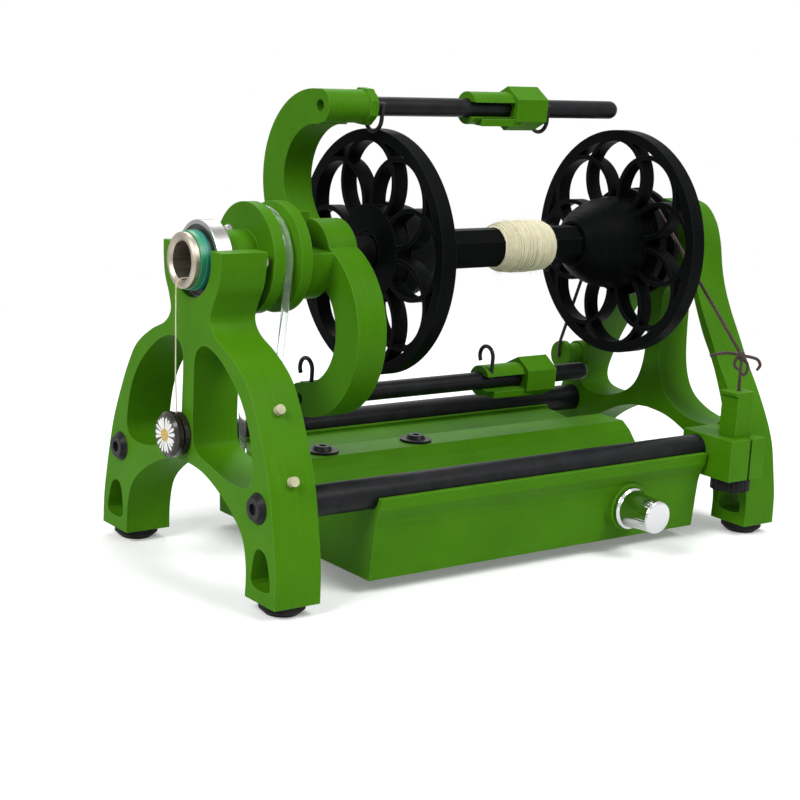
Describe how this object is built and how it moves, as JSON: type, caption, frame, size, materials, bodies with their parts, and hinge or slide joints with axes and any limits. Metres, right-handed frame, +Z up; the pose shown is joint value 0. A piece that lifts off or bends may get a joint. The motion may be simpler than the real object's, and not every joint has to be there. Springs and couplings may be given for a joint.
{
  "type": "electric spinning wheel",
  "caption": "Compact electric spinning wheel: belt-driven flyer with sliding yarn guides round a free bobbin, carried between arched uprights over a motor housing, with a cord brake.",
  "frame": {"origin": "middle of the footprint at table level", "axes": "+X from the orifice to the rear along the spin axis, +Z up, -Y the side with the speed knob and the brake post"},
  "size_m": [0.2882, 0.1498, 0.201],
  "materials": {
    "printed_green": "layered 3D print, satin",
    "printed_black": "layered 3D print, satin",
    "black_rod": "smooth, semi-gloss",
    "black_screw": "black oxide",
    "black_wire": "coated wire",
    "steel": "machined",
    "orifice_steel": "turned, warm grey",
    "motor_can": "plated can",
    "rubber": "matte",
    "pale_pin": "translucent filament pin",
    "button_dark": "resin, glossy",
    "daisy": "painted",
    "circuit_board": "solder mask",
    "potentiometer": "plated can",
    "chrome": "polished, fluted",
    "jack_black": "moulded",
    "white_spacer": "turned",
    "bronze": "sintered",
    "yarn": "wool, fuzzy",
    "clear_belt": "clear polyurethane",
    "brown_cord": "braided"
  },
  "bodies": {
    "stand": {"front_upright": "printed_green", "rear_upright": "printed_green", "base_rod_left": "black_rod", "base_rod_right": "black_rod", "rod_end_screws": "black_screw", "rubber_foot_front_left": "rubber", "rubber_foot_front_right": "rubber", "rubber_foot_rear_left": "rubber", "rubber_foot_rear_right": "rubber", "leg_pins": "pale_pin", "magnet_button_base": "button_dark", "magnet_button_cap": "button_dark", "button_daisy": "daisy", "housing_front": "printed_green", "housing_rear": "printed_green", "bottom_cover": "printed_green", "bottom_cover_screws": "black_screw", "housing_top_screws": "black_screw", "motor_body": "motor_can", "motor_clamp": "printed_black", "motor_screws": "steel", "control_board": "circuit_board", "board_bracket": "printed_black", "speed_potentiometer": "potentiometer", "power_jack": "jack_black", "front_bearing_outer": "steel", "rear_bearing": "steel", "drive_belt": "clear_belt", "brake_clamp": "printed_green", "brake_anchor": "printed_green", "brake_cord": "brown_cord", "yarn_end": "yarn"},
    "flyer": {"front_bearing_inner": "steel", "orifice_tube": "orifice_steel", "orifice_collar": "printed_green", "whorl_pulley": "printed_green", "whorl_screws": "steel", "flyer_yoke": "printed_green", "flyer_rod_top": "black_rod", "flyer_rod_bottom": "black_rod", "fixed_guide": "printed_green", "fixed_wires": "black_wire", "axle_shaft": "steel", "axle_spacers": "white_spacer"},
    "bobbin": {"bobbin_flange_front": "printed_black", "bobbin_flange_rear": "printed_black", "bobbin_core": "printed_black", "bobbin_bushes": "bronze", "yarn_core": "yarn", "yarn_winding": "yarn"},
    "top_slider": {"slide_clip_top": "printed_green", "slide_eye": "black_wire"},
    "bottom_slider": {"slide_clip_bottom": "printed_green", "slide_hook": "black_wire"},
    "motor_rotor": {"motor_shaft": "steel", "motor_pulley": "printed_black"},
    "speed_dial": {"speed_knob": "chrome", "potentiometer_shaft": "steel"},
    "tension_post": {"brake_post": "printed_green"},
    "tension_screw": {"brake_thumbwheel": "printed_black"}
  },
  "joints": [
    {"name": "flyer_spin", "type": "hinge", "parent": "stand", "child": "flyer", "pos_m": [-0.1118, 0.0056, 0.13], "axis": [1, 0, 0], "continuous": true},
    {"name": "bobbin_spin", "type": "hinge", "parent": "flyer", "child": "bobbin", "pos_m": [-0.0508, 0.0056, 0.13], "axis": [1, 0, 0], "continuous": true},
    {"name": "motor_spin", "type": "hinge", "parent": "stand", "child": "motor_rotor", "pos_m": [-0.1028, 0.0056, 0.026], "axis": [1, 0, 0], "continuous": true},
    {"name": "top_guide_slide", "type": "slide", "parent": "flyer", "child": "top_slider", "axis": [1, 0, 0], "range_m": [-0.035, 0.042]},
    {"name": "bottom_guide_slide", "type": "slide", "parent": "flyer", "child": "bottom_slider", "axis": [1, 0, 0], "range_m": [-0.06, 0.02]},
    {"name": "speed_turn", "type": "hinge", "parent": "stand", "child": "speed_dial", "pos_m": [0.0542, -0.0572, 0.021], "axis": [0, 1, 0], "range_deg": [0, 300]},
    {"name": "tension_screw_turn", "type": "hinge", "parent": "stand", "child": "tension_screw", "pos_m": [0.1117, -0.06235, 0.027], "axis": [0, 0, 1], "range_deg": [-2700, 900]},
    {"name": "tension_slide", "type": "slide", "parent": "stand", "child": "tension_post", "axis": [0, 0, 1], "range_m": [-0.002, 0.006]}
  ],
  "couplings": [
    {"joint": "motor_spin", "follows": "flyer_spin", "ratio": 2.5894},
    {"joint": "tension_screw_turn", "follows": "tension_slide", "rad_per_m": -7854}
  ]
}
